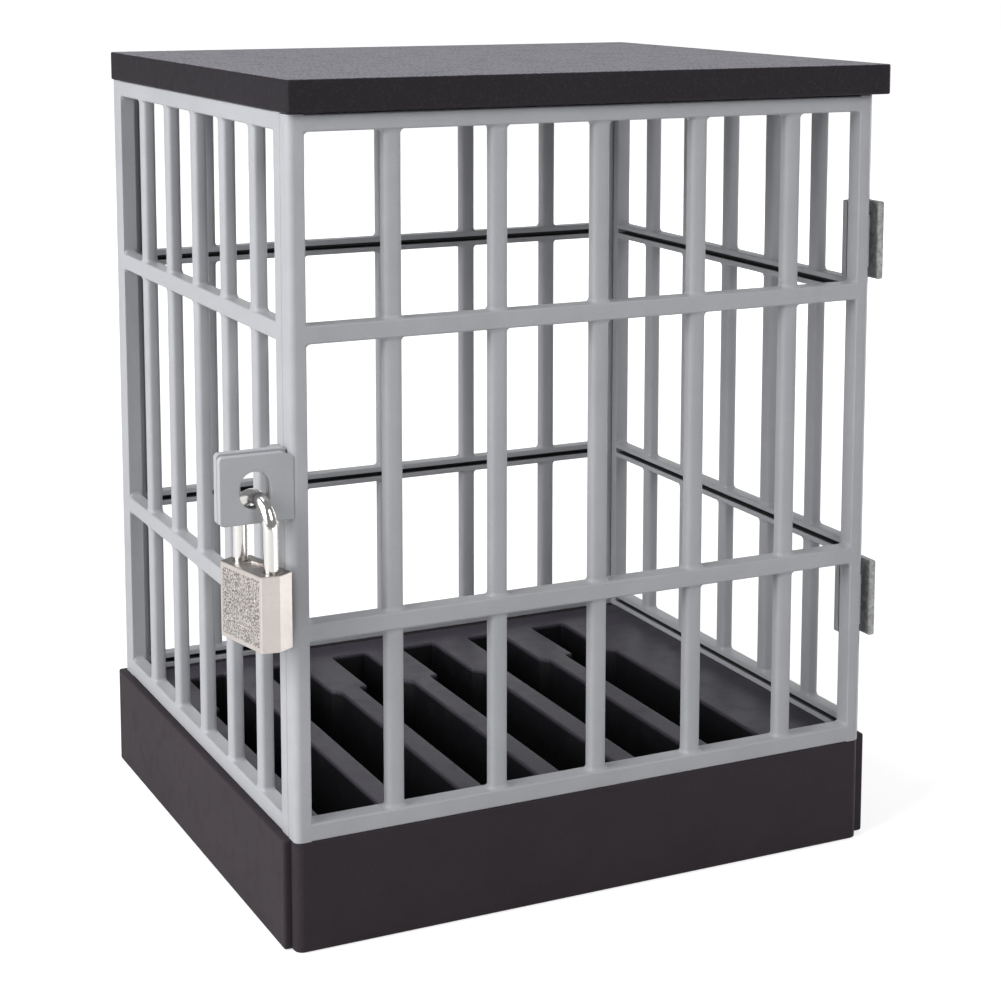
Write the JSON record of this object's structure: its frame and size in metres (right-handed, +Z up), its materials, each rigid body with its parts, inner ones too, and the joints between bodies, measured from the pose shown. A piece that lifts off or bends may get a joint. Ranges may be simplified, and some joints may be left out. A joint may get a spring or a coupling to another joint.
{
  "type": "phone lock cage",
  "caption": "Boxy lockable cage with barred walls, a hinged barred door, a floor slotted for phones and a small padlock through two ears.",
  "frame": {"origin": "middle of the bottom plate's underside, on the surface the cage stands on", "axes": "+X right along the door, +Y from the door to the back wall, +Z up"},
  "size_m": [0.1819, 0.1517, 0.2077],
  "materials": {
    "grille_plastic": "satin grey",
    "bracket_grey": "rough bluish grey",
    "base_plastic": "matte black",
    "roof_plastic": "fine-grained black",
    "floor_plastic": "satin dark grey",
    "pin_steel": "satin",
    "screw_steel": "satin",
    "shackle_steel": "bright plated",
    "lock_nickel": "hammered plated",
    "lock_brass": "machined",
    "latch_steel": "machined",
    "spring_steel": "drawn wire"
  },
  "bodies": {
    "cage": {"plinth_shell": "base_plastic", "plinth_front": "base_plastic", "bottom_plate": "base_plastic", "bottom_screws": "screw_steel", "floor_tray": "floor_plastic", "left_wall": "grille_plastic", "wall_ear": "grille_plastic", "right_wall": "grille_plastic", "upper_hinge_bracket": "bracket_grey", "lower_hinge_bracket": "bracket_grey", "back_wall": "grille_plastic", "roof_cover": "roof_plastic", "upper_hinge_pin": "pin_steel", "lower_hinge_pin": "pin_steel"},
    "door": {"door": "grille_plastic", "door_ear": "grille_plastic"},
    "shackle": {"shackle": "shackle_steel"},
    "lock": {"lock_body": "lock_nickel", "lock_cap": "lock_nickel", "driver_pins": "lock_brass", "tumbler_springs": "spring_steel", "shackle_spring": "spring_steel", "latch_spring": "spring_steel"},
    "plug": {"lock_plug": "lock_brass", "key_pins": "lock_brass"},
    "latch": {"lock_latch": "latch_steel"}
  },
  "joints": [
    {"name": "door_swing", "type": "hinge", "parent": "cage", "child": "door", "pos_m": [0.07805, -0.0705, 0.11365], "axis": [0, 0, 1], "range_deg": [0, 90]},
    {"name": "lock_swing", "type": "hinge", "parent": "cage", "child": "shackle", "pos_m": [-0.08905, -0.0713, 0.112], "axis": [0, 1, 0], "range_deg": [-4, 95]},
    {"name": "lock_drop", "type": "slide", "parent": "shackle", "child": "lock", "axis": [0, 0, -1], "range_m": [0, 0.0066], "deforming": ["shackle_spring"]},
    {"name": "plug_turn", "type": "hinge", "parent": "lock", "child": "plug", "pos_m": [-0.08884, -0.07228, 0.0856], "axis": [0, 0, 1], "range_deg": [0, 90]},
    {"name": "latch_draw", "type": "slide", "parent": "lock", "child": "latch", "axis": [-0.2079, 0.9781, 0], "range_m": [0, 0.003], "deforming": ["latch_spring"]}
  ],
  "couplings": [
    {"joint": "plug_turn", "follows": "lock_drop", "rad_per_m": 237.9},
    {"joint": "latch_draw", "follows": "lock_drop", "ratio": 0.454}
  ]
}
